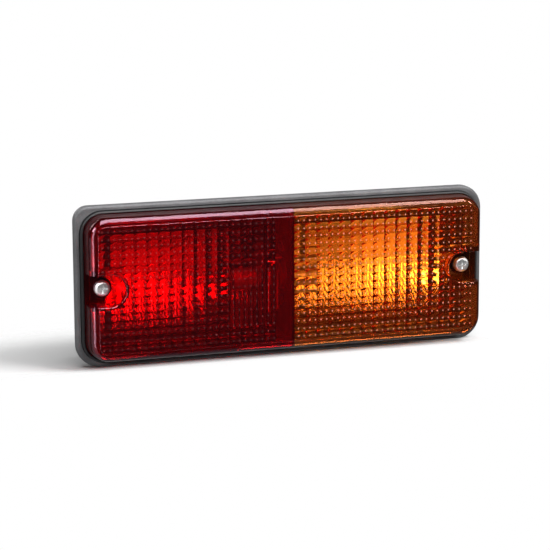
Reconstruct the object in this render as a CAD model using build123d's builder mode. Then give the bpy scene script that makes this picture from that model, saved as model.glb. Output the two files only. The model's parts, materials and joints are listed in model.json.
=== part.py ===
from build123d import *
import os

# Tail light cluster with a red and an amber half, for a recess in a vehicle's rear panel.
# X runs along the lamp towards the amber half, Z is up and the lens faces -Y.
# The origin is the middle of the mounting face, which is the back of the base gasket.
# Heights are measured forward from that face, so what lies behind it has a negative height.

# Base gasket, whose lip stands round the housing rim
gasket_length = 219.6
gasket_width = 82.5
gasket_lip_height = 4.5
gasket_thickness = 2.0
gasket_lip_gap = 0.3
gasket_corner_radius = 12.0
gasket_tight_corner_radius = 7.5
gasket_front_round = 1.6
gasket_back_round = 0.8

# Housing rim, which shows as a black frame round the lens
gasket_lip = 2.7
rim_corner_radius = 11.4
rim_front = 6.5
rim_edge_round = 0.9

# Housing tub, behind the mounting face
tub_end_step = 5.9
tub_side_step = 4.9
tub_corner_radius = 7.0
tub_depth = 24.0
tub_draft = 2.0
tub_back_round = 3.0
wall = 2.0
tub_gasket_gap = 0.6

# Lens outline where it leaves the rim, and its moulded front
rim_end_lip = 1.6
rim_side_lip = 1.2
lens_corner_radius = 9.8
lens_proud = 10.5
lens_draft = 4.5
lens_edge_round = 3.0
lens_wall = 2.4
lens_front_thickness = 2.6
panel_margin = 4.7
panel_corner_radius = 4.6
panel_rise = 0.6
panel_edge_round = 0.35
division_x = 1.5

# Lens tongue, its groove in the rim and the seal between them
lens_gap = 0.3
tongue_end = 4.8
seal_thickness = 1.2

# Screw notches at the two ends of the lens
notch_half_width = 8.1
notch_arc_inset = 10.8
notch_floor = 7.6
notch_floor_thickness = 2.0
notch_wall = 2.2
notch_edge_chamfer = 0.7
notch_chamfer_angle = 45.0
screw_inset = 8.5

# Lens screws and their inserts
screw_head_radius = 4.1
screw_head_height = 2.7
screw_head_round = 1.7
screw_radius = 1.95
screw_length = 14.0
screw_hole_gap = 0.35
cross_length = 4.8
cross_width = 1.0
cross_depth = 1.5
insert_radius = 2.8
insert_bore_gap = 0.05
insert_length = 8.0
pillar_radius = 5.5
pillar_hole_depth = 15.0

# Pillow optics on the inner face of the lens
pillow_rows = 16
pillow_height = 1.5
pillow_slope_share = 0.3
pillow_root = 0.1
pillow_embed = 0.3
pillow_margin = 0.6
amber_columns = 16
red_columns = 15
red_plain_width = 9.5
flute_count = 10
flute_height = 0.45
window_left_column = 11
window_bottom_row = 2
window_top_row = 10

# Wiring channel between the chambers, whose right wall stands under the lens division
channel_wall = 1.6
channel_width = 12.4
partition_front = 12.3

# Reflector plates, which clear the heads of the mounting studs
reflector_stud_gap = 1.5
reflector_rise = 10.5
reflector_side_gap = 4.5
reflector_thickness = 1.0
reflector_end_gap = 11.0
reflector_wall_gap = 3.0
rivet_end_gap = 7.0
reflector_post_radius = 3.4
reflector_rivet_radius = 1.6
reflector_rivet_head_radius = 3.0
reflector_rivet_head_height = 1.4
reflector_rivet_lift = 0.1
reflector_rivet_length = 4.5

# Bulbs and bayonet sockets, all on one axis along the lamp
bulb_reflector_gap = 2.0
cap_radius = 7.5
cap_length = 16.0
bulb_neck_radius = 6.6
bulb_glass_radius = 12.5
bulb_neck_length = 5.0
solder_radius = 2.2
solder_height = 1.0
solder_offset = 3.4
pin_radius = 1.0
pin_reach = 8.7
pin_from_base = 6.7
shell_gap = 0.2
shell_thickness = 0.5
shell_length = 18.0
shell_back = 3.9
slot_width = 2.4
slot_turn = 3.0
ear_length = 36.0
ear_width = 19.0
ear_corner_radius = 5.0
ear_thickness = 1.0
socket_hole_gap = 0.3
socket_rivet_spacing = 28.0
socket_rivet_radius = 1.5
socket_rivet_head_radius = 2.8
socket_rivet_head_height = 1.0

# Contacts and terminals
insulator_back = 3.4
insulator_thickness = 2.0
contact_head_radius = 2.0
contact_head_height = 0.8
contact_shank_radius = 1.1
blade_thickness = 0.8
blade_width = 5.0
blade_reach = 22.0
earth_blade_width = 6.3
earth_blade_gap = 3.7

# Mounting studs and the cable inlet
stud_spacing = 120.0
stud_radius = 3.0
stud_neck_radius = 3.4
stud_reach = 18.0
stud_head_radius = 6.5
stud_head_height = 3.0
stud_pad_radius = 9.0
stud_pad_height = 2.0
grommet_edge_gap = 14.0
grommet_neck_radius = 5.0
grommet_inner_radius = 5.9
grommet_outer_radius = 7.6
grommet_inner_height = 1.5
grommet_outer_height = 2.6
grommet_bore_radius = 3.0
grommet_membrane = 0.8

# Sizes that follow from the ones above
rim_length = gasket_length - 2 * gasket_lip
rim_width = gasket_width - 2 * gasket_lip
tub_length = rim_length - 2 * tub_end_step
tub_width = rim_width - 2 * tub_side_step
lens_length = rim_length - 2 * rim_end_lip
lens_width = rim_width - 2 * rim_side_lip
panel_length = lens_length - 2 * panel_margin
panel_width = lens_width - 2 * panel_margin
notch_arc_x = lens_length / 2 - notch_arc_inset
screw_x = lens_length / 2 - screw_inset
reflector_half_width = tub_width / 2 - reflector_side_gap
reflector_end_x = tub_length / 2 - reflector_end_gap
grommet_drop = tub_width / 2 - grommet_edge_gap
lens_front = rim_front + lens_proud
panel_front = lens_front + panel_rise
lens_ceiling = lens_front - lens_front_thickness
groove_floor = tongue_end - seal_thickness
seat_back = notch_floor - notch_floor_thickness
tub_floor = wall - tub_depth
reflector_back = tub_floor + stud_head_height + reflector_stud_gap
reflector_middle_height = reflector_back + reflector_thickness
reflector_edge_height = reflector_middle_height + reflector_rise
bulb_axis_height = reflector_middle_height + bulb_reflector_gap + bulb_glass_radius
panel_half_length = panel_length / 2
channel_half = channel_width / 2
channel_x = division_x - channel_wall / 2 - channel_half
partition_face = channel_half + channel_wall
insulator_front = insulator_back + insulator_thickness
pillow_span = panel_width / 2 - pillow_margin
row_pitch = 2 * pillow_span / pillow_rows
bulb_base = insulator_front + contact_head_height
shell_radius = cap_radius + shell_gap + shell_thickness
earth_blade_reach = tub_width / 2 - wall - shell_radius - earth_blade_gap
pad_face = tub_depth + stud_pad_height
screw_places = [(-screw_x, 0), (screw_x, 0)]
stud_places = [(-stud_spacing / 2, 0), (stud_spacing / 2, 0)]


def at_height(height):
    """Sketch plane that faces forward, with X to the right and Z up."""
    return Plane.XZ.offset(height)


def behind(depth):
    """Sketch plane that faces backward, a given depth behind the mounting face."""
    return Plane(origin=(0, depth, 0), x_dir=(1, 0, 0), z_dir=(0, 1, 0))


def along_bulbs(side, distance):
    """Sketch plane across the bulb axis, facing away from the wiring channel on one side."""
    return Plane(
        origin=(channel_x + side * distance, -bulb_axis_height, 0),
        x_dir=(0, side, 0),
        z_dir=(side, 0, 0),
    )


def notch_outline(half_width):
    """Two U shapes, round inside and open past the ends of the lens."""
    for side in (-1, 1):
        with Locations((side * notch_arc_x, 0)):
            Circle(half_width)
        with Locations((side * (notch_arc_x + lens_length / 4), 0)):
            Rectangle(lens_length / 2, 2 * half_width)


def lens_hollow():
    """Outline of the lens inside its wall."""
    RectangleRounded(lens_length - 2 * lens_wall, lens_width - 2 * lens_wall, lens_corner_radius - lens_wall)


def ridges(start, pitch, count, height):
    """Section of a row of ridges: distance along the row, height from the mounting face."""
    root = lens_ceiling - pillow_root
    points = [(start, lens_ceiling + pillow_embed), (start, root)]
    for ridge in range(count):
        left = start + ridge * pitch
        slope = pillow_slope_share * pitch
        points += [
            (left + slope, root - height),
            (left + pitch - slope, root - height),
            (left + pitch, root),
        ]
    points.append((start + count * pitch, lens_ceiling + pillow_embed))
    return points


def column_face(points):
    """Face seen from above that follows ridges along X."""
    with BuildSketch(Plane.XY) as face:
        with BuildLine():
            Polyline(*[(x, -height) for x, height in points], close=True)
        make_face()
    return face.sketch


def row_face(points, start_x):
    """Face seen from the side that follows ridges along Z."""
    with BuildSketch(Plane.YZ.offset(start_x)) as face:
        with BuildLine():
            Polyline(*[(-height, z) for z, height in points], close=True)
        make_face()
    return face.sketch


def pillow_sheet(start_x, columns, pitch):
    """Sheet of pillows: upright ridges cut down to level ones."""
    with BuildPart() as sheet:
        upright = column_face(ridges(start_x, pitch, columns, pillow_height))
        extrude(upright, amount=pillow_span, both=True)
        level = row_face(ridges(-pillow_span, row_pitch, pillow_rows, pillow_height), start_x)
        extrude(level, amount=columns * pitch, mode=Mode.INTERSECT)
    return sheet.part


def lens_half(keep, optics):
    """One colour of the lens: front, wall, tongue, screw seat and optics."""
    with BuildPart() as half:
        with BuildSketch(at_height(rim_front)):
            RectangleRounded(lens_length, lens_width, lens_corner_radius)
        extrude(amount=lens_proud, taper=lens_draft)
        fillet(half.faces().sort_by(Axis.Y)[0].edges(), lens_edge_round)
        with BuildSketch(at_height(lens_ceiling)):
            RectangleRounded(panel_length, panel_width, panel_corner_radius)
        extrude(amount=panel_front - lens_ceiling)
        fillet(half.faces().sort_by(Axis.Y)[0].edges(), panel_edge_round)
        with BuildSketch(at_height(tongue_end)):
            RectangleRounded(lens_length, lens_width, lens_corner_radius)
        extrude(amount=rim_front - tongue_end)
        # Hollow behind the front, all over the tongue and round the screw seats above it
        with BuildSketch(at_height(tongue_end)):
            lens_hollow()
        extrude(amount=seat_back - tongue_end, mode=Mode.SUBTRACT)
        with BuildSketch(at_height(seat_back)):
            lens_hollow()
            with BuildSketch(mode=Mode.SUBTRACT):
                notch_outline(notch_half_width + notch_wall)
        extrude(amount=lens_ceiling - seat_back, mode=Mode.SUBTRACT)
        split(bisect_by=Plane.YZ.offset(division_x), keep=keep)
        add(optics)
        # Notch with a broken front edge, and the hole for the screw
        with BuildSketch(at_height(notch_floor)):
            notch_outline(notch_half_width)
        extrude(amount=panel_front - notch_floor, mode=Mode.SUBTRACT)
        with BuildSketch(at_height(panel_front - notch_edge_chamfer)):
            notch_outline(notch_half_width)
        extrude(amount=notch_edge_chamfer, taper=-notch_chamfer_angle, mode=Mode.SUBTRACT)
        with BuildSketch(at_height(notch_floor)):
            with Locations(*screw_places):
                Circle(screw_radius + screw_hole_gap)
        extrude(amount=-notch_floor_thickness, mode=Mode.SUBTRACT)
    return half.part


os.makedirs("parts", exist_ok=True)

# Housing: rim, tub, pillars, wiring channel, posts and pads
with BuildPart() as housing:
    with BuildSketch(at_height(gasket_thickness)):
        RectangleRounded(rim_length, rim_width, rim_corner_radius)
    extrude(amount=rim_front - gasket_thickness)
    fillet(housing.faces().sort_by(Axis.Y)[0].edges(), rim_edge_round)
    with BuildSketch(behind(-gasket_thickness)):
        RectangleRounded(tub_length, tub_width, tub_corner_radius)
    extrude(amount=gasket_thickness + tub_depth, taper=tub_draft)
    fillet(housing.faces().sort_by(Axis.Y)[-1].edges(), tub_back_round)
    with BuildSketch(behind(tub_depth)):
        with Locations(*stud_places):
            Circle(stud_pad_radius)
    extrude(amount=stud_pad_height)
    # Cavity, then the groove that takes the lens tongue
    with BuildSketch(behind(-gasket_thickness)):
        RectangleRounded(tub_length - 2 * wall, tub_width - 2 * wall, tub_corner_radius - wall)
    extrude(amount=gasket_thickness - tub_floor, taper=tub_draft, mode=Mode.SUBTRACT)
    with BuildSketch(at_height(gasket_thickness)):
        RectangleRounded(tub_length - 2 * wall, tub_width - 2 * wall, tub_corner_radius - wall)
    extrude(amount=rim_front - gasket_thickness, mode=Mode.SUBTRACT)
    with BuildSketch(at_height(groove_floor)):
        RectangleRounded(
            lens_length + 2 * lens_gap, lens_width + 2 * lens_gap, lens_corner_radius + lens_gap
        )
        RectangleRounded(
            lens_length - 2 * (lens_wall + lens_gap),
            lens_width - 2 * (lens_wall + lens_gap),
            lens_corner_radius - lens_wall - lens_gap,
            mode=Mode.SUBTRACT,
        )
    extrude(amount=rim_front - groove_floor, mode=Mode.SUBTRACT)
    # Pockets for the screw seats of the lens
    with BuildSketch(at_height(seat_back)):
        notch_outline(notch_half_width + notch_wall + lens_gap)
        Rectangle(lens_length + 2 * lens_gap, rim_width, mode=Mode.INTERSECT)
    extrude(amount=rim_front - seat_back, mode=Mode.SUBTRACT)
    # Screw pillars at both ends, with holes for the inserts
    with BuildSketch(at_height(tub_floor)):
        for side in (-1, 1):
            with Locations((side * screw_x, 0)):
                Circle(pillar_radius)
        Rectangle(tub_length - wall, tub_width, mode=Mode.INTERSECT)
    extrude(amount=seat_back - tub_floor)
    with BuildSketch(at_height(seat_back)):
        with Locations(*screw_places):
            Circle(insert_radius)
    extrude(amount=-insert_length, mode=Mode.SUBTRACT)
    with BuildSketch(at_height(seat_back)):
        with Locations(*screw_places):
            Circle(screw_radius + screw_hole_gap)
    extrude(amount=-pillar_hole_depth, mode=Mode.SUBTRACT)
    # Two partition walls that carry the sockets
    with BuildSketch(at_height(tub_floor)):
        for side in (-1, 1):
            with Locations((channel_x + side * (channel_half + channel_wall / 2), 0)):
                Rectangle(channel_wall, tub_width - wall)
    extrude(amount=groove_floor - tub_floor)
    with BuildSketch(at_height(groove_floor)):
        for side in (-1, 1):
            with Locations((channel_x + side * (channel_half + channel_wall / 2), 0)):
                Rectangle(channel_wall, tub_width - 2 * wall)
    extrude(amount=partition_front - groove_floor)
    with BuildSketch(along_bulbs(1, -partition_face)):
        Circle(shell_radius + socket_hole_gap)
        with GridLocations(0, socket_rivet_spacing, 1, 2):
            Circle(socket_rivet_radius)
    extrude(amount=2 * partition_face, mode=Mode.SUBTRACT)
    # Posts under the reflectors
    amber_start = channel_x + partition_face + reflector_wall_gap
    red_start = channel_x - partition_face - reflector_wall_gap
    rivet_places = [
        (amber_start + rivet_end_gap, 0),
        (reflector_end_x - rivet_end_gap, 0),
        (red_start - rivet_end_gap, 0),
        (rivet_end_gap - reflector_end_x, 0),
    ]
    with BuildSketch(at_height(tub_floor)):
        with Locations(*rivet_places):
            Circle(reflector_post_radius)
            Circle(reflector_rivet_radius, mode=Mode.SUBTRACT)
    extrude(amount=reflector_back - tub_floor)
    # Holes for the studs and the cable grommet
    with BuildSketch(behind(-tub_floor)):
        with Locations(*stud_places):
            Circle(stud_neck_radius)
        with Locations((channel_x, grommet_drop)):
            Circle(grommet_neck_radius)
    extrude(amount=pad_face + tub_floor, mode=Mode.SUBTRACT)
housing.part.label = "housing"
export_step(housing.part, "parts/housing.step")

# Base gasket: a rubber ring with a lip, tighter at the top left corner
with BuildPart() as base_gasket:
    with BuildSketch(at_height(0)):
        RectangleRounded(gasket_length, gasket_width, gasket_corner_radius)
        tight = 4 * gasket_corner_radius
        with Locations(((tight - gasket_length) / 2, (gasket_width - tight) / 2)):
            RectangleRounded(tight, tight, gasket_tight_corner_radius)
    extrude(amount=gasket_lip_height)
    fillet(base_gasket.faces().sort_by(Axis.Y)[0].edges(), gasket_front_round)
    fillet(base_gasket.faces().sort_by(Axis.Y)[-1].edges(), gasket_back_round)
    with BuildSketch(at_height(0)):
        RectangleRounded(
            tub_length + 2 * tub_gasket_gap, tub_width + 2 * tub_gasket_gap, tub_corner_radius
        )
    extrude(amount=gasket_thickness, mode=Mode.SUBTRACT)
    with BuildSketch(at_height(gasket_thickness)):
        RectangleRounded(
            rim_length + 2 * gasket_lip_gap,
            rim_width + 2 * gasket_lip_gap,
            rim_corner_radius + gasket_lip_gap,
        )
    extrude(amount=gasket_lip_height - gasket_thickness, mode=Mode.SUBTRACT)
base_gasket.part.label = "base_gasket"
export_step(base_gasket.part, "parts/base_gasket.step")

# Amber half of the lens, with pillows all over
amber_start_x = division_x + pillow_margin
amber_pitch = (panel_half_length - pillow_margin - amber_start_x) / amber_columns
lens_amber = lens_half(Keep.TOP, pillow_sheet(amber_start_x, amber_columns, amber_pitch))
lens_amber.label = "lens_amber"
export_step(lens_amber, "parts/lens_amber.step")

# Red half of the lens: pillows, a window of fine upright flutes and a plain strip at the division
red_start_x = pillow_margin - panel_half_length
red_pitch = (division_x - red_plain_width - red_start_x) / red_columns
window_left = red_start_x + window_left_column * red_pitch
window_right = red_start_x + red_columns * red_pitch
window_bottom = window_bottom_row * row_pitch - pillow_span
window_top = window_top_row * row_pitch - pillow_span
with BuildPart() as red_optics:
    add(pillow_sheet(red_start_x, red_columns, red_pitch))
    with BuildSketch(at_height(0)):
        with Locations(((window_left + window_right) / 2, (window_bottom + window_top) / 2)):
            Rectangle(window_right - window_left, window_top - window_bottom)
    extrude(amount=panel_front, mode=Mode.SUBTRACT)
with BuildPart() as red_flutes:
    flute_pitch = (window_right - window_left) / flute_count
    flutes = column_face(ridges(window_left, flute_pitch, flute_count, flute_height))
    extrude(flutes, amount=pillow_span, both=True)
    with BuildSketch(Plane.XY.offset(window_bottom)):
        Rectangle(gasket_length, gasket_length)
    extrude(amount=window_top - window_bottom, mode=Mode.INTERSECT)
with BuildPart() as red_sheet:
    add(red_optics.part)
    add(red_flutes.part)
lens_red = lens_half(Keep.BOTTOM, red_sheet.part)
lens_red.label = "lens_red"
export_step(lens_red, "parts/lens_red.step")

# Seal ring in the rim groove
with BuildPart() as lens_seal:
    with BuildSketch(at_height(groove_floor)):
        RectangleRounded(lens_length, lens_width, lens_corner_radius)
        with BuildSketch(mode=Mode.SUBTRACT):
            lens_hollow()
    extrude(amount=seal_thickness)
lens_seal.part.label = "lens_seal"
export_step(lens_seal.part, "parts/lens_seal.step")

# Lens screws with domed heads and cross recesses
with BuildPart() as lens_screws:
    with BuildSketch(at_height(notch_floor)):
        with Locations(*screw_places):
            Circle(screw_head_radius)
    extrude(amount=screw_head_height)
    fillet(lens_screws.faces().sort_by(Axis.Y)[:2].edges(), screw_head_round)
    with BuildSketch(at_height(notch_floor)):
        with Locations(*screw_places):
            Circle(screw_radius)
    extrude(amount=-screw_length)
    with BuildSketch(at_height(notch_floor + screw_head_height)):
        with Locations(*screw_places):
            Rectangle(cross_length, cross_width)
            Rectangle(cross_width, cross_length)
    extrude(amount=-cross_depth, mode=Mode.SUBTRACT)
lens_screws.part.label = "lens_screws"
export_step(lens_screws.part, "parts/lens_screws.step")

# Inserts in the pillars
with BuildPart() as lens_screw_inserts:
    with BuildSketch(at_height(seat_back)):
        with Locations(*screw_places):
            Circle(insert_radius)
            Circle(screw_radius + insert_bore_gap, mode=Mode.SUBTRACT)
    extrude(amount=-insert_length)
lens_screw_inserts.part.label = "lens_screw_inserts"
export_step(lens_screw_inserts.part, "parts/lens_screw_inserts.step")

# Reflectors: troughs along the bulb axis
for name, start, end in (
    ("reflector_amber", amber_start, reflector_end_x),
    ("reflector_red", -reflector_end_x, red_start),
):
    with BuildPart() as reflector:
        with BuildSketch(Plane.YZ.offset(start)):
            with BuildLine():
                front_arc = ThreePointArc(
                    (-reflector_edge_height, -reflector_half_width),
                    (-reflector_middle_height, 0),
                    (-reflector_edge_height, reflector_half_width),
                )
                back_arc = ThreePointArc(
                    (reflector_thickness - reflector_edge_height, -reflector_half_width),
                    (reflector_thickness - reflector_middle_height, 0),
                    (reflector_thickness - reflector_edge_height, reflector_half_width),
                )
                Line(front_arc @ 0, back_arc @ 0)
                Line(front_arc @ 1, back_arc @ 1)
            make_face()
        extrude(amount=end - start)
        with BuildSketch(at_height(reflector_back)):
            with Locations(*rivet_places):
                Circle(reflector_rivet_radius)
        extrude(amount=reflector_thickness - reflector_back, mode=Mode.SUBTRACT)
    reflector.part.label = name
    export_step(reflector.part, f"parts/{name}.step")

# Rivets of the reflectors
with BuildPart() as reflector_rivets:
    with BuildSketch(at_height(reflector_middle_height + reflector_rivet_lift)):
        with Locations(*rivet_places):
            Circle(reflector_rivet_head_radius)
    extrude(amount=reflector_rivet_head_height)
    with BuildSketch(at_height(reflector_middle_height + reflector_rivet_lift)):
        with Locations(*rivet_places):
            Circle(reflector_rivet_radius)
    extrude(amount=-reflector_rivet_length)
reflector_rivets.part.label = "reflector_rivets"
export_step(reflector_rivets.part, "parts/reflector_rivets.step")

# Sockets, bulbs and contacts: the red side points away from the amber side
pin_at = bulb_base + solder_height + pin_from_base
sides = (
    (-1, "stop_tail", {"contact_stop": solder_offset, "contact_tail": -solder_offset}),
    (1, "indicator", {"contact_indicator": 0}),
)
for side, function, contacts in sides:
    # Bayonet shell with two ears and a pair of turned slots
    with BuildPart() as socket:
        with BuildSketch(along_bulbs(side, shell_back)):
            Circle(shell_radius)
        extrude(amount=shell_length)
        with BuildSketch(along_bulbs(side, partition_face)):
            RectangleRounded(ear_width, ear_length, ear_corner_radius)
        extrude(amount=ear_thickness)
        with BuildSketch(along_bulbs(side, shell_back)):
            Circle(cap_radius + shell_gap)
        extrude(amount=shell_length, mode=Mode.SUBTRACT)
        with BuildSketch(along_bulbs(side, partition_face)):
            with GridLocations(0, socket_rivet_spacing, 1, 2):
                Circle(socket_rivet_radius)
        extrude(amount=ear_thickness, mode=Mode.SUBTRACT)
        with BuildSketch(along_bulbs(side, pin_at - slot_width + pin_radius)):
            for turn in (-1, 1):
                with Locations((-turn * slot_turn / 2, turn * shell_radius)):
                    Rectangle(slot_turn + slot_width, shell_radius)
        extrude(amount=slot_width, mode=Mode.SUBTRACT)
        with BuildSketch(along_bulbs(side, pin_at)):
            for turn in (-1, 1):
                with Locations((-turn * slot_turn, turn * shell_radius)):
                    Rectangle(slot_width, shell_radius)
        extrude(amount=shell_length, mode=Mode.SUBTRACT)
    socket.part.label = f"socket_{function}"
    export_step(socket.part, f"parts/socket_{function}.step")

    # Bulb: solder contacts, cap with two pins, neck and round glass
    with BuildPart() as bulb:
        with BuildSketch(along_bulbs(side, bulb_base)):
            for offset in contacts.values():
                with Locations((side * offset, 0)):
                    Circle(solder_radius)
        extrude(amount=solder_height)
        with BuildSketch(along_bulbs(side, bulb_base + solder_height)):
            Circle(cap_radius)
        extrude(amount=cap_length)
        with BuildSketch(along_bulbs(side, bulb_base + solder_height + cap_length)):
            Circle(bulb_neck_radius)
        extrude(amount=bulb_neck_length + bulb_glass_radius / 2)
        glass_distance = bulb_base + solder_height + cap_length + bulb_neck_length + bulb_glass_radius
        with Locations((channel_x + side * glass_distance, -bulb_axis_height, 0)):
            Sphere(bulb_glass_radius)
        with BuildSketch(Plane.XY):
            with Locations((channel_x + side * pin_at, -bulb_axis_height)):
                Circle(pin_radius)
        extrude(amount=pin_reach, both=True)
    bulb.part.label = f"bulb_{function}"
    export_step(bulb.part, f"parts/bulb_{function}.step")

    # Insulator disc inside the shell
    with BuildPart() as insulator:
        with BuildSketch(along_bulbs(side, insulator_back)):
            Circle(cap_radius + shell_gap)
            for offset in contacts.values():
                with Locations((side * offset, 0)):
                    Circle(contact_shank_radius, mode=Mode.SUBTRACT)
        extrude(amount=insulator_thickness)
    insulator.part.label = f"contact_insulator_{function}"
    export_step(insulator.part, f"parts/contact_insulator_{function}.step")

    # Contact pins, each with a blade that runs down the channel
    for name, offset in contacts.items():
        with BuildPart() as contact:
            with BuildSketch(along_bulbs(side, insulator_front)):
                with Locations((side * offset, 0)):
                    Circle(contact_head_radius)
            extrude(amount=bulb_base - insulator_front)
            with BuildSketch(along_bulbs(side, insulator_back)):
                with Locations((side * offset, 0)):
                    Circle(contact_shank_radius)
            extrude(amount=insulator_thickness)
            with BuildSketch(along_bulbs(side, insulator_back - blade_thickness)):
                with Locations((side * offset, (blade_width - blade_reach) / 2)):
                    RectangleRounded(blade_width, blade_reach, contact_shank_radius)
            extrude(amount=blade_thickness)
        contact.part.label = name
        export_step(contact.part, f"parts/{name}.step")

# Rivets that hold the socket ears to the partition walls
with BuildPart() as socket_rivets:
    for side in (-1, 1):
        ear_front = partition_face + ear_thickness
        for distance, radius, length in (
            (channel_half - socket_rivet_head_height, socket_rivet_head_radius, socket_rivet_head_height),
            (channel_half, socket_rivet_radius, channel_wall + ear_thickness),
            (ear_front, socket_rivet_head_radius, socket_rivet_head_height),
        ):
            with BuildSketch(along_bulbs(side, distance)):
                with GridLocations(0, socket_rivet_spacing, 1, 2):
                    Circle(radius)
            extrude(amount=length)
socket_rivets.part.label = "socket_rivets"
export_step(socket_rivets.part, "parts/socket_rivets.step")

# Earth strip across the two shells, with a blade that stands up between them
with BuildPart() as earth_strip:
    with BuildSketch(Plane.XY.offset(shell_radius)):
        with Locations((channel_x, -bulb_axis_height)):
            Rectangle(2 * channel_half - 2 * socket_rivet_head_height, earth_blade_width)
    extrude(amount=blade_thickness)
    with BuildSketch(along_bulbs(1, -blade_thickness / 2)):
        with Locations((0, shell_radius + earth_blade_reach / 2)):
            Rectangle(earth_blade_width, earth_blade_reach)
    extrude(amount=blade_thickness)
earth_strip.part.label = "earth_strip"
export_step(earth_strip.part, "parts/earth_strip.step")

# Mounting studs with heads inside the tub and necks pressed into its floor
with BuildPart() as mounting_studs:
    with BuildSketch(at_height(tub_floor)):
        with Locations(*stud_places):
            Circle(stud_head_radius)
    extrude(amount=stud_head_height)
    with BuildSketch(at_height(tub_floor)):
        with Locations(*stud_places):
            Circle(stud_neck_radius)
    extrude(amount=-(pad_face + tub_floor))
    with BuildSketch(behind(pad_face)):
        with Locations(*stud_places):
            Circle(stud_radius)
    extrude(amount=stud_reach)
mounting_studs.part.label = "mounting_studs"
export_step(mounting_studs.part, "parts/mounting_studs.step")

# Grommet in the cable hole, closed by a thin membrane
with BuildPart() as cable_grommet:
    for depth, radius, length in (
        (-tub_floor - grommet_inner_height, grommet_inner_radius, grommet_inner_height),
        (-tub_floor, grommet_neck_radius, wall),
        (tub_depth, grommet_outer_radius, grommet_outer_height),
    ):
        with BuildSketch(behind(depth)):
            with Locations((channel_x, grommet_drop)):
                Circle(radius)
        extrude(amount=length)
    with BuildSketch(behind(grommet_membrane - tub_floor)):
        with Locations((channel_x, grommet_drop)):
            Circle(grommet_bore_radius)
    extrude(amount=wall + grommet_outer_height, mode=Mode.SUBTRACT)
cable_grommet.part.label = "cable_grommet"
export_step(cable_grommet.part, "parts/cable_grommet.step")
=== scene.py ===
"""Looks of the tail light cluster, laid out as an add-on and run as a script."""

import json
import math

import bmesh
import bpy
from bpy.props import FloatProperty, FloatVectorProperty, IntProperty, PointerProperty
from mathutils import Matrix, Vector

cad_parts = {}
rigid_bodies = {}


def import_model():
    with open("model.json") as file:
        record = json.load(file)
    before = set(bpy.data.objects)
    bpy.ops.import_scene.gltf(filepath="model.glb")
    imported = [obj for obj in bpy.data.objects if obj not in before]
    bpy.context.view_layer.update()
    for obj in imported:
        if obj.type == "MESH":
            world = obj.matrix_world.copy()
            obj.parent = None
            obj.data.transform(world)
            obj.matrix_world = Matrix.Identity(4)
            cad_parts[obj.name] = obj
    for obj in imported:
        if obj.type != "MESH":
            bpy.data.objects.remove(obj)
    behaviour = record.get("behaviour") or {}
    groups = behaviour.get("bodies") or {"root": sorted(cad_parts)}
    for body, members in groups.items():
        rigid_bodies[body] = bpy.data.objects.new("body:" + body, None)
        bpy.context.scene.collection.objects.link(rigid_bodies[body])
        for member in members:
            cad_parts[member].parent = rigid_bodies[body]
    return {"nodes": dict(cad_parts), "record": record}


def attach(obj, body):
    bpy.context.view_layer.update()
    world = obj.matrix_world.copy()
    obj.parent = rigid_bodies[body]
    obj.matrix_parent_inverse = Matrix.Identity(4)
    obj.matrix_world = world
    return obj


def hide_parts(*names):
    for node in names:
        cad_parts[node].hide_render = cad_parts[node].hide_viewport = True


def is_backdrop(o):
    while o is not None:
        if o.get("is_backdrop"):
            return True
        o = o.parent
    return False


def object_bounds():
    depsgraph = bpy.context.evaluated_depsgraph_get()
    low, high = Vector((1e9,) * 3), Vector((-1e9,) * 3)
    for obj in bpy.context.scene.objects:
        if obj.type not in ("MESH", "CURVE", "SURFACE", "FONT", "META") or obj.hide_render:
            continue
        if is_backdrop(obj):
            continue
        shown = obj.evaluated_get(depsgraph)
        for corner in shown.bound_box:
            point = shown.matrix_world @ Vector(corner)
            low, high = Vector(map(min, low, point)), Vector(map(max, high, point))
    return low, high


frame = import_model()

bl_info = {
    "name": "Tail light cluster",
    "version": (1, 0, 0),
    "blender": (4, 5, 0),
    "location": "View3D > Sidebar > Tail light",
    "description": "Builds the looks of a tail light cluster round its packed CAD part",
    "category": "Object",
}

MM = 0.001
WHITE = (1.0, 1.0, 1.0, 1.0)
# Places of hidden pieces in the CAD, for the materials that follow them
STUD_PLACE = 60 * MM
STUD_PITCH = 1 * MM
BULB_MIDDLE = -5.5 * MM
BULB_CAP_END = 23.1 * MM
AMBER_CHAMBER = 63 * MM
RED_CHAMBER = -64 * MM
# Camera fitted to the photograph
CAMERA_PLACE = (-0.34642, -1.06366, 0.22398)
CAMERA_AIM = (-0.0085, -0.0163, 0.00252)
CAMERA_ROLL = math.radians(-0.228)
# Softboxes: name, azimuth and elevation as seen from the lamp, distance, width, height, brightness,
# rays that see it, and what it lights: the whole lamp, its lens or the floor
LAMPS = (
    ("overhead", 17, 66, 1.0, 0.5, 0.45, 12.0, ("diffuse",), "lamp"),
    ("floor_key", 52, 48, 1.0, 0.4, 0.4, 20.0, ("diffuse",), "floor"),
    ("floor_fill", 0, 80, 1.0, 1.2, 1.2, 2.7, ("diffuse",), "floor"),
    ("edge", -42, 0, 1.0, 0.4, 0.8, 8.0, ("glossy",), "lens"),
    ("left", -60, 26, 1.0, 0.26, 0.26, 36.0, ("diffuse", "glossy"), "lamp"),
    ("right", 55, 28, 1.0, 0.3, 0.3, 24.0, ("diffuse", "glossy"), "lamp"),
    ("back", 212, 26, 1.0, 0.5, 0.4, 5.0, ("diffuse", "glossy"), "lamp"),
    ("sheen", 8, 61, 1.0, 1.0, 1.1, 14.0, ("glossy",), "lamp"),
    ("right_strip", 21, 13, 1.0, 0.2, 0.34, 26.0, ("transmission",), "lamp"),
    ("left_strip", 8, 7, 1.0, 0.06, 0.4, 9.0, ("transmission",), "lamp"),
)


def length(name, millimetres, description):
    """A length property, given in millimetres."""
    return FloatProperty(name=name, description=description, default=millimetres * MM, unit="LENGTH", precision=5)


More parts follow.
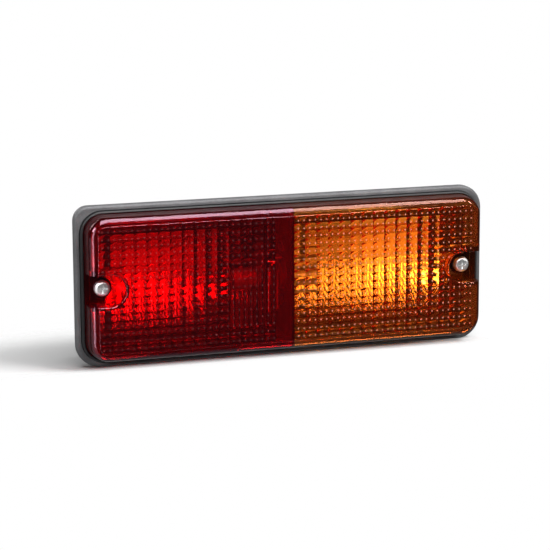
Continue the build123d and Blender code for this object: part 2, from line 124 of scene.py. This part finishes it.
def colour(name, value, description):
    """A colour property, in linear red, green and blue."""
    return FloatVectorProperty(
        name=name, description=description, default=value, size=3, min=0.0, max=1.0, subtype="COLOR"
    )


def level(name, value, description):
    """A plain number property."""
    return FloatProperty(name=name, description=description, default=value, min=0.0, precision=4)


class LensShape(bpy.types.PropertyGroup):
    """Outline and section of the lens; heights are measured forward from the mounting face."""

    long_side: length("Length", 211.0, "Lens length where it leaves the rim")
    short_side: length("Width", 74.7, "Lens width where it leaves the rim")
    corner: length("Corner radius", 9.8, "Corner radius where it leaves the rim")
    rim: length("Rim height", 6.5, "Height at which the lens leaves the rim")
    ledge: length("Ledge height", 17.0, "Height of the ledge round the panel")
    edge_round: length("Edge round", 3.0, "Radius of the front edge")
    panel_margin: length("Panel margin", 4.7, "Distance from the lens outline to the raised panel")
    panel_corner: length("Panel corner", 4.6, "Corner radius of the raised panel")
    panel: length("Panel height", 17.6, "Height of the raised panel")
    panel_round: length("Panel round", 0.35, "Radius of the panel's edge")
    wall: length("Wall", 2.4, "Thickness of the side wall")
    ceiling: length("Ceiling height", 14.4, "Height of the inner face of the front")
    tongue: length("Tongue height", 4.8, "Height of the tongue's end in the rim")
    division: length("Division", 1.5, "Place of the joint between the two colours")
    draft: FloatProperty(
        name="Draft", description="Slope of the side wall", default=math.radians(4.5), subtype="ANGLE"
    )
    notch_half: length("Notch half width", 8.1, "Half the width of a screw notch")
    notch_arc: length("Notch arc", 94.7, "Distance from the middle to the centre of a notch's arc")
    notch_floor: length("Notch floor", 7.6, "Height of a notch's floor")
    notch_seat: length("Notch seat", 5.6, "Height of the back of a notch's floor")
    notch_wall: length("Notch wall", 2.2, "Thickness of the wall round a notch")
    notch_bevel: length("Notch lip", 0.7, "Radius of the rounded edge of a notch")
    screw: length("Screw place", 97.0, "Distance from the middle to a lens screw")
    screw_hole: length("Screw hole", 2.3, "Radius of a screw hole")


class LensOptics(bpy.types.PropertyGroup):
    """Pillow optics on the inner face of the lens."""

    margin: length("Margin", 0.6, "Distance from the panel's edge to the pillows")
    root: length("Root", 0.1, "Depth of the valleys below the inner face")
    level_sag: length("Sag along", 0.8, "Height of a pillow's curve along the lamp")
    upright_sag: length("Sag across", 0.75, "Height of a pillow's curve across the lamp")
    flute_sag: length("Flute sag", 0.35, "Height of a flute in the window")
    plain: length("Plain strip", 9.5, "Width of the plain strip beside the division")
    window_left: IntProperty(name="Window left", description="First column of the fluted window", default=11)
    window_bottom: IntProperty(name="Window bottom", description="First row of the fluted window", default=2)
    window_top: IntProperty(name="Window top", description="Row above the fluted window", default=10)
    flutes: IntProperty(name="Flutes", description="Flutes in the window", default=10)
    rows: IntProperty(name="Rows", description="Rows of pillows", default=16)
    amber_columns: IntProperty(name="Amber columns", description="Columns of pillows on the amber half", default=16)
    red_columns: IntProperty(name="Red columns", description="Columns of pillows on the red half", default=15)
    steps: IntProperty(name="Steps", description="Faces along a pillow", default=10)
    row_steps: IntProperty(name="Row steps", description="Faces across a pillow", default=6)


class LampColours(bpy.types.PropertyGroup):
    """Colours of the pieces."""

    amber_face: colour("Amber face", (1.0, 0.9, 0.5), "Tint of the amber lens at its faces")
    amber_sheen: colour("Amber sheen", (1.0, 0.55, 0.45), "Tint of reflections on the amber lens")
    amber_depth: colour("Amber depth", (0.985, 0.59, 0.05), "Colour left by the amber plastic's depth")
    amber_density: level("Amber density", 380.0, "How fast the amber deepens, per metre")
    amber_milk: colour("Amber milk", (0.9, 0.12, 0.01), "Colour of the amber lens's slight milkiness")
    amber_cloud: level("Amber cloud", 0.02, "Share of milkiness in the amber lens")
    # Painted highlight points on the amber lens
    amber_points: colour("Amber points", (1.0, 0.45, 0.33), "Colour of the light points on the amber lens")
    amber_shine: level("Amber shine", 0.85, "Strength of the light points on the amber lens")
    red_face: colour("Red face", (0.88, 0.1, 0.12), "Tint of the red lens at its faces")
    red_sheen: colour("Red sheen", (1.0, 0.58, 0.75), "Tint of reflections on the red lens")
    red_depth: colour("Red depth", (0.94, 0.01, 0.06), "Colour left by the red plastic's depth")
    red_density: level("Red density", 650.0, "How fast the red deepens, per metre")
    red_milk: colour("Red milk", (0.75, 0.005, 0.02), "Colour of the red lens's slight milkiness")
    red_cloud: level("Red cloud", 0.018, "Share of milkiness in the red lens")
    # Painted highlight points on the red lens
    red_points: colour("Red points", (1.0, 0.4, 0.4), "Colour of the light points on the red lens")
    red_shine: level("Red shine", 0.15, "Strength of the light points on the red lens")
    housing: colour("Housing", (0.015, 0.015, 0.016), "Moulded plastic of the housing")
    gasket: colour("Gasket", (0.12, 0.12, 0.125), "Rubber of the base gasket")
    seal: colour("Seal", (0.02, 0.02, 0.022), "Rubber of the lens seal and the grommet")
    zinc: colour("Zinc", (0.78, 0.78, 0.8), "Zinc plate of the rivets")
    brass: colour("Brass", (0.8, 0.6, 0.3), "Brass of inserts and contacts")
    insulator: colour("Insulator", (0.3, 0.16, 0.08), "Contact insulators")
    socket: colour("Socket", (0.3, 0.3, 0.3), "Dull steel of the bulb sockets")
    screw: colour("Screw", (0.95, 0.95, 0.95), "Bright zinc of the lens screws")


class StageLook(bpy.types.PropertyGroup):
    """Camera and floor."""

    floor_dark: colour("Floor, darker", (0.76, 0.76, 0.76), "Darker tone of the floor")
    floor_pale: colour("Floor, paler", (0.8, 0.8, 0.8), "Paler tone of the floor")
    camera_lens: FloatProperty(name="Lens", description="Focal length in millimetres", default=144.3)


class Wire:
    """A shader socket that can be reckoned with like a number."""

    def __init__(self, tree, socket=None):
        self.tree = tree
        self.socket = socket

    def node(self, kind, settings, sockets, output=0):
        """Adds a node: its settings first, then its sockets."""
        made = self.tree.nodes.new(kind)
        for name, value in settings.items():
            setattr(made, name, value)
        for key, value in sockets.items():
            if isinstance(value, Wire):
                self.tree.links.new(value.socket, made.inputs[key])
            else:
                made.inputs[key].default_value = value
        return Wire(self.tree, made.outputs[output])

    def math(self, operation, *values):
        return self.node("ShaderNodeMath", {"operation": operation}, dict(enumerate(values)))

    def __add__(self, other):
        return self.math("ADD", self, other)

    def __radd__(self, other):
        return self.math("ADD", other, self)

    def __sub__(self, other):
        return self.math("SUBTRACT", self, other)

    def __rsub__(self, other):
        return self.math("SUBTRACT", other, self)

    def __mul__(self, other):
        return self.math("MULTIPLY", self, other)

    def __rmul__(self, other):
        return self.math("MULTIPLY", other, self)

    def __truediv__(self, other):
        return self.math("DIVIDE", self, other)

    def __rtruediv__(self, other):
        return self.math("DIVIDE", other, self)

    def distance(self, middle):
        """How far this value is from the middle."""
        return self.math("ABSOLUTE", self - middle)

    def ramp(self, low, high):
        """0 below low, 1 above high and a smooth step between."""
        return self.node(
            "ShaderNodeMapRange",
            {"interpolation_type": "SMOOTHSTEP"},
            {"Value": self, "From Min": low, "From Max": high},
        )

    def blend(self, low, high):
        """A colour between two, by this value."""
        return self.node("ShaderNodeMix", {"data_type": "RGBA"}, {"Factor": self, "A": low, "B": high}, 2)


def paper(name):
    """A new material with an empty tree, as (material, wire, output node)."""
    material = bpy.data.materials.new(name)
    material.use_nodes = True
    tree = material.node_tree
    tree.nodes.clear()
    return material, Wire(tree), tree.nodes.new("ShaderNodeOutputMaterial")


def finish_paper(wire, output, shader):
    wire.tree.links.new(shader.socket, output.inputs["Surface"])


def grey(tone):
    return (tone, tone, tone, 1.0)


def opaque(color):
    return (*color, 1.0)


def grained(name, color, rough, grain, bump, metal=0.0, gloss=0.5):
    """Solid material with fine grain in its colour, roughness and height."""
    material, wire, output = paper(name)
    place = wire.node("ShaderNodeTexCoord", {}, {}, "Object")
    fine = wire.node("ShaderNodeTexNoise", {}, {"Vector": place, "Scale": grain, "Detail": 4.0})
    broad = wire.node("ShaderNodeTexNoise", {}, {"Vector": place, "Scale": grain / 18, "Detail": 3.0})
    pale = opaque(min(1.0, c * 1.25) for c in color)
    dark = opaque(c * 0.75 for c in color)
    height = wire.node("ShaderNodeBump", {}, {"Height": fine, "Strength": bump, "Distance": 0.0002})
    shader = wire.node(
        "ShaderNodeBsdfPrincipled",
        {},
        {
            "Base Color": (fine * 0.5 + broad * 0.5).ramp(0.3, 0.7).blend(dark, pale),
            "Roughness": rough + (broad - 0.5) * 0.2,
            "Metallic": metal,
            "Specular IOR Level": gloss,
            "Normal": height,
        },
    )
    finish_paper(wire, output, shader)
    return material


def thread_paint():
    """Zinc with a screw thread round each stud, with painted shade in the thread's valleys and a paler colour on
    its crests.
    """
    material, wire, output = paper("threaded_zinc")
    place = wire.node("ShaderNodeTexCoord", {}, {}, "Object")
    along, back, up = (wire.node("ShaderNodeSeparateXYZ", {}, {"Vector": place}, axis) for axis in "XYZ")
    round_stud = wire.math("ARCTAN2", up, along.distance(0.0) - STUD_PLACE)
    groove = wire.math("SINE", back * (2 * math.pi / STUD_PITCH) + round_stud)
    film = wire.node("ShaderNodeTexNoise", {}, {"Vector": place, "Scale": 1500.0, "Detail": 3.0})
    height = wire.node("ShaderNodeBump", {}, {"Height": groove + film * 0.2, "Strength": 0.8, "Distance": 0.0002})
    shader = wire.node(
        "ShaderNodeBsdfPrincipled",
        {},
        {
            # Painted shade: the colour is darker in the thread's valleys and paler on its crests
            "Base Color": (groove * 0.5 + 0.5).blend(grey(0.35), grey(0.8)),
            "Roughness": 0.25 + film * 0.15,
            "Metallic": 1.0,
            "Normal": height,
        },
    )
    finish_paper(wire, output, shader)
    return material


def mirror_paint():
    """Metallised plastic with painted light: paler behind the middle of each chamber and duller to the ends."""
    material, wire, output = paper("reflector")
    place = wire.node("ShaderNodeTexCoord", {}, {}, "Object")
    along = wire.node("ShaderNodeSeparateXYZ", {}, {"Vector": place}, "X")
    # Painted light: the colour is paler near the middle of each chamber, where the bright pool of light falls
    nearest = wire.math("MINIMUM", along.distance(AMBER_CHAMBER), along.distance(RED_CHAMBER))
    film = wire.node("ShaderNodeTexNoise", {}, {"Vector": place, "Scale": 60.0, "Detail": 3.0})
    shader = wire.node(
        "ShaderNodeBsdfPrincipled",
        {},
        {
            "Base Color": nearest.ramp(0.01, 0.03).blend(grey(0.97), grey(0.6)),
            "Roughness": 0.12 + film * 0.06,
            "Metallic": 1.0,
        },
    )
    finish_paper(wire, output, shader)
    return material


def bulb_paint():
    """Clear glass beyond the cap of a bulb, nickel on the cap."""
    material, wire, output = paper("bulb")
    place = wire.node("ShaderNodeTexCoord", {}, {}, "Object")
    along = wire.node("ShaderNodeSeparateXYZ", {}, {"Vector": place}, "X")
    cap = 1 - along.distance(BULB_MIDDLE).ramp(BULB_CAP_END, BULB_CAP_END + 0.2 * MM)
    smear = wire.node("ShaderNodeTexNoise", {}, {"Vector": place, "Scale": 400.0, "Detail": 3.0})
    shader = wire.node(
        "ShaderNodeBsdfPrincipled",
        {},
        {
            "Base Color": smear.blend(grey(0.12), grey(0.25)),
            "Roughness": 0.04 + cap * 0.5 + smear * 0.1,
            "Metallic": cap,
            "Alpha": 0.12 + 0.88 * cap,
        },
    )
    finish_paper(wire, output, shader)
    return material


def painted_sparkle(wire, place, lens, optics, side):
    """Two fine painted highlight points in front of every pillow."""
    start, pitch, row_pitch = pillow_grid(lens, optics, side)[:3]
    along, front, up = (wire.node("ShaderNodeSeparateXYZ", {}, {"Vector": place}, axis) for axis in "XYZ")
    turn = 2 * math.pi
    across = wire.math("COSINE", (along - (start + pitch / 4)) * (2 * turn / pitch))
    upright = wire.math("COSINE", (up - row_pitch / 2) * (turn / row_pitch))
    behind = front.ramp(0.1 * MM - lens.panel, 0.15 * MM - lens.panel)
    points = (across * 0.5 + upright * 0.5).ramp(0.86, 0.97) * (1 - behind)
    if side < 0:
        plain = along.ramp(lens.division - optics.plain, lens.division - optics.plain + 0.1 * MM)
        points = points * (1 - plain)
    return points


def clear_plastic(name, finish, lens, optics, side):
    """Clear plastic, tinted at its faces, more deeply the further light runs inside, a little milky, and with
    painted highlight points.
    """
    material, wire, output = paper(name)
    place = wire.node("ShaderNodeTexCoord", {}, {}, "Object")
    haze = wire.node("ShaderNodeTexNoise", {}, {"Vector": place, "Scale": 900.0, "Detail": 2.0})
    glass = wire.node(
        "ShaderNodeBsdfPrincipled",
        {},
        {
            "Base Color": opaque(finish["face"]),
            "Roughness": 0.03 + haze.ramp(0.55, 0.9) * 0.03,
            "IOR": 1.49,
            "Specular Tint": opaque(finish["sheen"]),
            "Transmission Weight": 1.0,
        },
    )
    milk = wire.node("ShaderNodeBsdfDiffuse", {}, {"Color": opaque(finish["milk"])})
    shader = wire.node("ShaderNodeMixShader", {}, {0: finish["cloud"] + haze * 0.016, 1: glass, 2: milk})
    # Painted highlights: fine pale diffuse points on the lens front stand in for the lamps' glints in the pillows
    painted_spark = wire.node("ShaderNodeBsdfDiffuse", {}, {"Color": opaque(finish["points"])})
    points = painted_sparkle(wire, place, lens, optics, side)
    shader = wire.node("ShaderNodeMixShader", {}, {0: points * finish["shine"], 1: shader, 2: painted_spark})
    depth = wire.node(
        "ShaderNodeVolumeAbsorption", {}, {"Color": opaque(finish["depth"]), "Density": finish["density"]}
    )
    wire.tree.links.new(depth.socket, output.inputs["Volume"])
    finish_paper(wire, output, shader)
    return material


def named_object(name, shape):
    """A new object for a finished bmesh."""
    mesh = bpy.data.meshes.new(name)
    shape.to_mesh(mesh)
    shape.free()
    made = bpy.data.objects.new(name, mesh)
    bpy.context.scene.collection.objects.link(made)
    return made


def soften(shape, edges, radius):
    """Rounds edges of a bmesh."""
    bmesh.ops.bevel(
        shape,
        geom=edges,
        offset=radius,
        affect="EDGES",
        segments=10,
        profile=0.5,
        material=-1,
        clamp_overlap=True,
    )


def slab(long_side, short_side, corner, low, high, slope=0.0, front_round=0.0):
    """A rounded rectangular slab between two heights."""
    shape = bmesh.new()
    bmesh.ops.create_cube(shape, size=1.0)
    for vert in shape.verts:
        front = vert.co.y < 0
        inset = 2 * slope if front else 0.0
        vert.co = Vector(
            (vert.co.x * (long_side - inset), -(high if front else low), vert.co.z * (short_side - inset))
        )
    upright = [e for e in shape.edges if abs(e.verts[0].co.y - e.verts[1].co.y) > 1e-6]
    soften(shape, upright, corner)
    if front_round > 0:
        edges = [e for e in shape.edges if all(abs(v.co.y + high) < 1e-6 for v in e.verts)]
        soften(shape, edges, front_round)
    bmesh.ops.recalc_face_normals(shape, faces=shape.faces)
    return named_object("slab", shape)


def notch_block(lens, profile):
    """Both screw notches as U-shaped blocks; the profile holds heights and half widths, back to front."""
    shape = bmesh.new()
    for side in (-1, 1):
        turn = Matrix.Translation((side * lens.notch_arc, 0, 0)) @ Matrix.Rotation(math.pi / 2, 4, "X")
        made = bmesh.ops.create_circle(shape, cap_ends=True, segments=64, radius=1.0, matrix=turn)
        layers = [made["verts"]]
        for _ in profile[1:]:
            last = set(layers[-1])
            made = bmesh.ops.extrude_face_region(shape, geom=[f for f in shape.faces if last.issuperset(f.verts)])
            layers.append([g for g in made["geom"] if isinstance(g, bmesh.types.BMVert)])
        for layer, (height, half_width) in zip(layers, profile):
            for vert in layer:
                reach, rise = (vert.co.x - side * lens.notch_arc) * half_width, vert.co.z * half_width
                # The outer half of the round runs out past the end of the lens
                if side * reach > 1e-9:
                    reach, rise = side * (lens.long_side - lens.notch_arc), math.copysign(half_width, rise)
                vert.co = Vector((side * lens.notch_arc + reach, -height, rise))
        middle = [set(layer) for layer in layers[1:-1]]
        within = [f for f in shape.faces if any(layer.issuperset(f.verts) for layer in middle)]
        bmesh.ops.delete(shape, geom=within, context="FACES_ONLY")
    bmesh.ops.remove_doubles(shape, verts=shape.verts, dist=1e-6)
    bmesh.ops.recalc_face_normals(shape, faces=shape.faces)
    return named_object("notch", shape)


def settle(piece):
    """Bakes the modifiers of a piece into its mesh."""
    graph = bpy.context.evaluated_depsgraph_get()
    mesh = bpy.data.meshes.new_from_object(piece.evaluated_get(graph))
    old = piece.data
    piece.modifiers.clear()
    piece.data = mesh
    bpy.data.meshes.remove(old)


def joined(target, tool, operation):
    """Applies one boolean to target and removes the tool."""
    change = target.modifiers.new("cut", "BOOLEAN")
    change.operation = operation
    change.object = tool
    change.solver = "EXACT"
    settle(target)
    bpy.data.objects.remove(tool)
    return target


def clear_shading(piece, angle):
    """Smooth faces, with edges sharper than the angle kept sharp."""
    shape = bmesh.new()
    shape.from_mesh(piece.data)
    bmesh.ops.remove_doubles(shape, verts=shape.verts, dist=2e-6)
    bmesh.ops.recalc_face_normals(shape, faces=shape.faces)
    for face in shape.faces:
        face.smooth = True
    for edge in shape.edges:
        edge.smooth = edge.is_manifold and edge.calc_face_angle(math.pi) < angle
    shape.to_mesh(piece.data)
    shape.free()
    # Flat faces stay flat beside rounds
    change = piece.modifiers.new("normals", "WEIGHTED_NORMAL")
    change.keep_sharp = True
    settle(piece)


def bulge(share):
    """Curve of a pillow, 1 in the middle of each whole step of share and 0 at its ends."""
    within = 2 * (share - math.floor(share + 1e-6)) - 1
    return 1 - within * within


def pillow_grid(lens, optics, side):
    """Start, pitch, row pitch, columns and half width of the pillows of one colour."""
    half_long = lens.long_side / 2 - lens.panel_margin - optics.margin
    half_short = lens.short_side / 2 - lens.panel_margin - optics.margin
    if side > 0:
        start, end, columns = lens.division + optics.margin, half_long, optics.amber_columns
    else:
        start, end, columns = -half_long, lens.division - optics.plain, optics.red_columns
    return start, (end - start) / columns, 2 * half_short / optics.rows, columns, half_short


def pillow_sheet(lens, optics, side):
    """The pillows and flutes of one colour, as a sheet whose back is buried in the lens front."""
    start, pitch, row_pitch, columns, half_short = pillow_grid(lens, optics, side)
    flute_share = optics.flutes / (columns - optics.window_left)
    shape = bmesh.new()
    bmesh.ops.create_grid(
        shape, x_segments=columns * optics.steps, y_segments=optics.rows * optics.row_steps, size=0.5
    )
    for vert in shape.verts:
        along, across = (vert.co.x + 0.5) * columns, (vert.co.y + 0.5) * optics.rows
        sag = optics.level_sag * bulge(along) + optics.upright_sag * bulge(across)
        if side < 0 and along > optics.window_left and optics.window_bottom < across < optics.window_top:
            sag = optics.flute_sag * bulge((along - optics.window_left) * flute_share)
        vert.co = Vector(
            (
                start + along * pitch,
                optics.root + sag - lens.ceiling,
                across * row_pitch - half_short,
            )
        )
    made = bmesh.ops.extrude_face_region(shape, geom=list(shape.faces))
    for vert in (g for g in made["geom"] if isinstance(g, bmesh.types.BMVert)):
        vert.co.y = -(lens.ceiling + 0.3 * MM)
    bmesh.ops.recalc_face_normals(shape, faces=shape.faces)
    return named_object("pillows", shape)


def lens_piece(context, name, side):
    """One colour of the lens, with its optics."""
    lens, optics = context.scene.lens_shape, context.scene.lens_optics
    slope = (lens.ledge - lens.rim) * math.tan(lens.draft)
    piece = slab(lens.long_side, lens.short_side, lens.corner, lens.rim, lens.ledge, slope, lens.edge_round)
    piece.name = name
    joined(piece, slab(lens.long_side, lens.short_side, lens.corner, lens.tongue, lens.rim + 0.01 * MM), "UNION")
    panel_size = (lens.long_side - 2 * lens.panel_margin, lens.short_side - 2 * lens.panel_margin)
    joined(
        piece, slab(*panel_size, lens.panel_corner, lens.ceiling, lens.panel, 0.0, lens.panel_round), "UNION"
    )
    inner = (lens.long_side - 2 * lens.wall, lens.short_side - 2 * lens.wall, lens.corner - lens.wall)
    joined(piece, slab(*inner, lens.tongue - 1 * MM, lens.notch_seat), "DIFFERENCE")
    hollow = slab(*inner, lens.notch_seat - 0.01 * MM, lens.ceiling)
    outside = lens.notch_half + lens.notch_wall
    joined(hollow, notch_block(lens, ((0.0, outside), (lens.panel, outside))), "DIFFERENCE")
    joined(piece, hollow, "DIFFERENCE")
    joined(piece, pillow_sheet(lens, optics, side), "UNION")
    lip = lens.notch_bevel
    turns = [math.radians(15 * step) for step in range(7)]
    profile = [(lens.notch_floor, lens.notch_half)]
    profile += [
        (lens.panel - lip * (1 - math.sin(turn)), lens.notch_half + lip * (1 - math.cos(turn))) for turn in turns
    ]
    profile.append((lens.panel + 1 * MM, lens.notch_half + lip))
    joined(piece, notch_block(lens, profile), "DIFFERENCE")
    hole = bmesh.new()
    for end in (-1, 1):
        turn = Matrix.Translation((end * lens.screw, -lens.notch_floor, 0)) @ Matrix.Rotation(math.pi / 2, 4, "X")
        bmesh.ops.create_cone(
            hole,
            cap_ends=True,
            segments=32,
            radius1=lens.screw_hole,
            radius2=lens.screw_hole,
            depth=20 * MM,
            matrix=turn,
        )
    joined(piece, named_object("hole", hole), "DIFFERENCE")
    shape = bmesh.new()
    shape.from_mesh(piece.data)
    cut = bmesh.ops.bisect_plane(
        shape,
        geom=list(shape.verts) + list(shape.edges) + list(shape.faces),
        dist=1e-7,
        plane_co=(lens.division, 0, 0),
        plane_no=(-side, 0, 0),
        clear_outer=True,
    )
    rim = [g for g in cut["geom_cut"] if isinstance(g, bmesh.types.BMEdge)]
    bmesh.ops.holes_fill(shape, edges=rim, sides=0)
    shape.to_mesh(piece.data)
    shape.free()
    clear_shading(piece, math.radians(28))
    piece["is_lens"] = True
    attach(piece, "root")
    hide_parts(name)
    return piece


class BuildLens(bpy.types.Operator):
    """Both colours of the lens, with pillows on the inner face"""

    bl_idname = "tail_light.lens"
    bl_label = "Lens"

    def execute(self, context):
        lens, optics = context.scene.lens_shape, context.scene.lens_optics
        colours = context.scene.lamp_colours
        parts = ("face", "sheen", "depth", "density", "milk", "cloud", "points", "shine")
        for tint, side in (("amber", 1), ("red", -1)):
            name = "lens_" + tint
            finish = {part: getattr(colours, tint + "_" + part) for part in parts}
            piece = lens_piece(context, name, side)
            piece.data.materials.clear()
            piece.data.materials.append(clear_plastic(name, finish, lens, optics, side))
        return {"FINISHED"}


class PaintParts(bpy.types.Operator):
    """Materials of the CAD pieces that are shown as they are"""

    bl_idname = "tail_light.paint"
    bl_label = "Paint"

    def execute(self, context):
        colours = context.scene.lamp_colours
        zinc = grained("zinc", colours.zinc, 0.3, 1500.0, 0.1, 1.0)
        socket = grained("dull_steel", colours.socket, 0.5, 1500.0, 0.1, 1.0)
        by_slot = {
            "housing": grained("black_plastic", colours.housing, 0.45, 2500.0, 0.25, 0.0, 0.2),
            "gasket": grained("rubber", colours.gasket, 0.5, 2200.0, 0.4, 0.0, 0.15),
            "seal": grained("seal_rubber", colours.seal, 0.6, 2200.0, 0.4),
            "brass": grained("brass", colours.brass, 0.3, 1500.0, 0.1, 1.0),
            "reflector": mirror_paint(),
            "insulator": grained("insulator", colours.insulator, 0.5, 900.0, 0.2),
            "bulb": bulb_paint(),
        }
        by_name = {
            "lens_screws": grained("bright_zinc", colours.screw, 0.38, 1500.0, 0.1, 1.0),
            "mounting_studs": thread_paint(),
            "socket_stop_tail": socket,
            "socket_indicator": socket,
        }
        slots = {s["node"]: s["material_slot"] for s in frame["record"]["subparts"]}
        for name, piece in frame["nodes"].items():
            piece.data.materials.clear()
            piece.data.materials.append(by_name.get(name) or by_slot.get(slots[name], zinc))
        return {"FINISHED"}


class SetStage(bpy.types.Operator):
    """Floor, light and camera"""

    bl_idname = "tail_light.stage"
    bl_label = "Stage"

    def execute(self, context):
        look = context.scene.stage_look
        low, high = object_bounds()
        shape = bmesh.new()
        bmesh.ops.create_circle(shape, cap_ends=True, segments=96, radius=0.55)
        bmesh.ops.translate(shape, verts=shape.verts, vec=(0, 0, low[2]))
        floor = named_object("floor", shape)
        material, wire, output = paper("floor")
        place = wire.node("ShaderNodeTexCoord", {}, {}, "Object")
        cloud = wire.node("ShaderNodeTexNoise", {}, {"Vector": place, "Scale": 6.0})
        tone = cloud.blend(opaque(look.floor_dark), opaque(look.floor_pale))
        shade = wire.node("ShaderNodeBsdfPrincipled", {}, {"Base Color": tone, "Roughness": 0.9})
        # Away from the lamp, and before it, the floor runs out into the white backdrop
        start = (-0.04, 0.0, low[2])
        middle = wire.node("ShaderNodeVectorMath", {"operation": "SUBTRACT"}, {0: place, 1: start})
        spread = wire.node("ShaderNodeVectorMath", {"operation": "MULTIPLY"}, {0: middle, 1: (1.0, 2.0, 1.0)})
        away = wire.node("ShaderNodeVectorMath", {"operation": "LENGTH"}, {0: spread}, "Value").ramp(0.1, 0.22)
        before = 1 - wire.node("ShaderNodeSeparateXYZ", {}, {"Vector": place}, "Y").ramp(-0.016, -0.004)
        seen = wire.node("ShaderNodeLightPath", {}, {}, "Is Camera Ray")
        clear = wire.node("ShaderNodeBsdfTransparent", {}, {})
        gone = seen * (1 - (1 - away) * (1 - 0.85 * before))
        shade = wire.node("ShaderNodeMixShader", {}, {0: gone, 1: shade, 2: clear})
        finish_paper(wire, output, shade)
        floor.data.materials.append(material)
        floor.visible_glossy = floor.visible_diffuse = False
        floor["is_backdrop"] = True

        world = bpy.data.worlds.new("studio")
        context.scene.world = world
        world.use_nodes = True
        tree = world.node_tree
        tree.nodes.clear()
        wire = Wire(tree)
        camera_ray, glossy_ray, clear_ray = (
            wire.node("ShaderNodeLightPath", {}, {}, kind)
            for kind in ("Is Camera Ray", "Is Glossy Ray", "Is Transmission Ray")
        )
        place = wire.node("ShaderNodeTexCoord", {}, {}, "Generated")
        along, depth, up = (wire.node("ShaderNodeSeparateXYZ", {}, {"Vector": place}, axis) for axis in "XYZ")
        sky = wire.node("ShaderNodeBackground", {}, {"Color": grey(0.05)})
        paper_white = wire.node("ShaderNodeBackground", {}, {"Color": WHITE})
        # Gloss and glass show the white behind the lamp, and gloss the white floor to its left and below it
        behind = depth.ramp(0.85, 0.9) * along.ramp(0.0, 0.1) * (1 - up.ramp(-0.05, 0.05))
        beside = (1 - along.ramp(-0.3, -0.2)) * (1 - depth.ramp(0.2, 0.4)) * (1 - up.ramp(-0.12, -0.06))
        below = 0.5 * (1 - up.ramp(-0.7, -0.5))
        white = camera_ray + clear_ray * behind + glossy_ray * (behind + beside + below)
        shader = wire.node("ShaderNodeMixShader", {}, {0: white, 1: sky, 2: paper_white})
        output = tree.nodes.new("ShaderNodeOutputWorld")
        tree.links.new(shader.socket, output.inputs["Surface"])

        groups = {}
        lenses = [piece for piece in context.scene.objects if piece.get("is_lens")]
        if len(lenses) != 2:
            raise RuntimeError("The stage needs both lenses")
        for target, members, state in (
            ("lamp", [floor], "EXCLUDE"),
            ("floor", [floor], "INCLUDE"),
            ("lens", lenses, "INCLUDE"),
        ):
            groups[target] = bpy.data.collections.new("light_" + target)
            for member in members:
                groups[target].objects.link(member)
            for entry in groups[target].collection_objects:
                entry.light_linking.link_state = state
        for name, azimuth, elevation, distance, wide, tall, glow, rays, target in LAMPS:
            lamp = bpy.data.lights.new(name, "AREA")
            lamp.shape = "RECTANGLE"
            lamp.size, lamp.size_y = wide, tall
            lamp.energy = glow * math.pi * wide * tall
            box = bpy.data.objects.new(name, lamp)
            around = Matrix.Rotation(math.radians(azimuth), 4, "Z")
            upward = Matrix.Rotation(math.radians(-elevation), 4, "X")
            box.location = around @ upward @ Vector((0, -distance, 0))
            box.rotation_euler = (-box.location).to_track_quat("-Z", "Y").to_euler()
            box.visible_diffuse, box.visible_glossy, box.visible_transmission = (
                kind in rays for kind in ("diffuse", "glossy", "transmission")
            )
            box.light_linking.receiver_collection = groups[target]
            context.scene.collection.objects.link(box)

        camera = bpy.data.cameras.new("camera")
        camera.lens = look.camera_lens
        camera.sensor_width = 36.0
        camera.clip_end = 50.0
        eye = bpy.data.objects.new("camera", camera)
        place, aim = Vector(CAMERA_PLACE), Vector(CAMERA_AIM)
        turn = (aim - place).to_track_quat("-Z", "Y").to_matrix().to_4x4()
        eye.matrix_world = Matrix.Translation(place) @ turn @ Matrix.Rotation(CAMERA_ROLL, 4, "Z")
        context.scene.collection.objects.link(eye)
        context.scene.camera = eye
        context.scene.view_settings.view_transform = "Standard"
        return {"FINISHED"}


class TailLightPanel(bpy.types.Panel):
    """Settings and build steps of the tail light"""

    bl_idname = "VIEW3D_PT_tail_light"
    bl_label = "Tail light"
    bl_space_type = "VIEW_3D"
    bl_region_type = "UI"
    bl_category = "Tail light"

    def draw(self, context):
        for key, kind in GROUPS.items():
            for name in kind.__annotations__:
                self.layout.prop(getattr(context.scene, key), name)
        for step in STEPS:
            self.layout.operator(step.bl_idname)


GROUPS = {
    "lens_shape": LensShape,
    "lens_optics": LensOptics,
    "lamp_colours": LampColours,
    "stage_look": StageLook,
}
STEPS = (PaintParts, BuildLens, SetStage)


def register():
    for group in GROUPS.values():
        bpy.utils.register_class(group)
    for name, group in GROUPS.items():
        setattr(bpy.types.Scene, name, PointerProperty(type=group))
    for step in STEPS + (TailLightPanel,):
        bpy.utils.register_class(step)


def unregister():
    for step in reversed(STEPS + (TailLightPanel,)):
        bpy.utils.unregister_class(step)
    for name in GROUPS:
        delattr(bpy.types.Scene, name)
    for group in GROUPS.values():
        bpy.utils.unregister_class(group)


def main():
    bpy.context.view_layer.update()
    register()
    bpy.ops.tail_light.paint()
    bpy.ops.tail_light.lens()
    bpy.ops.tail_light.stage()


if __name__ == "__main__":
    main()
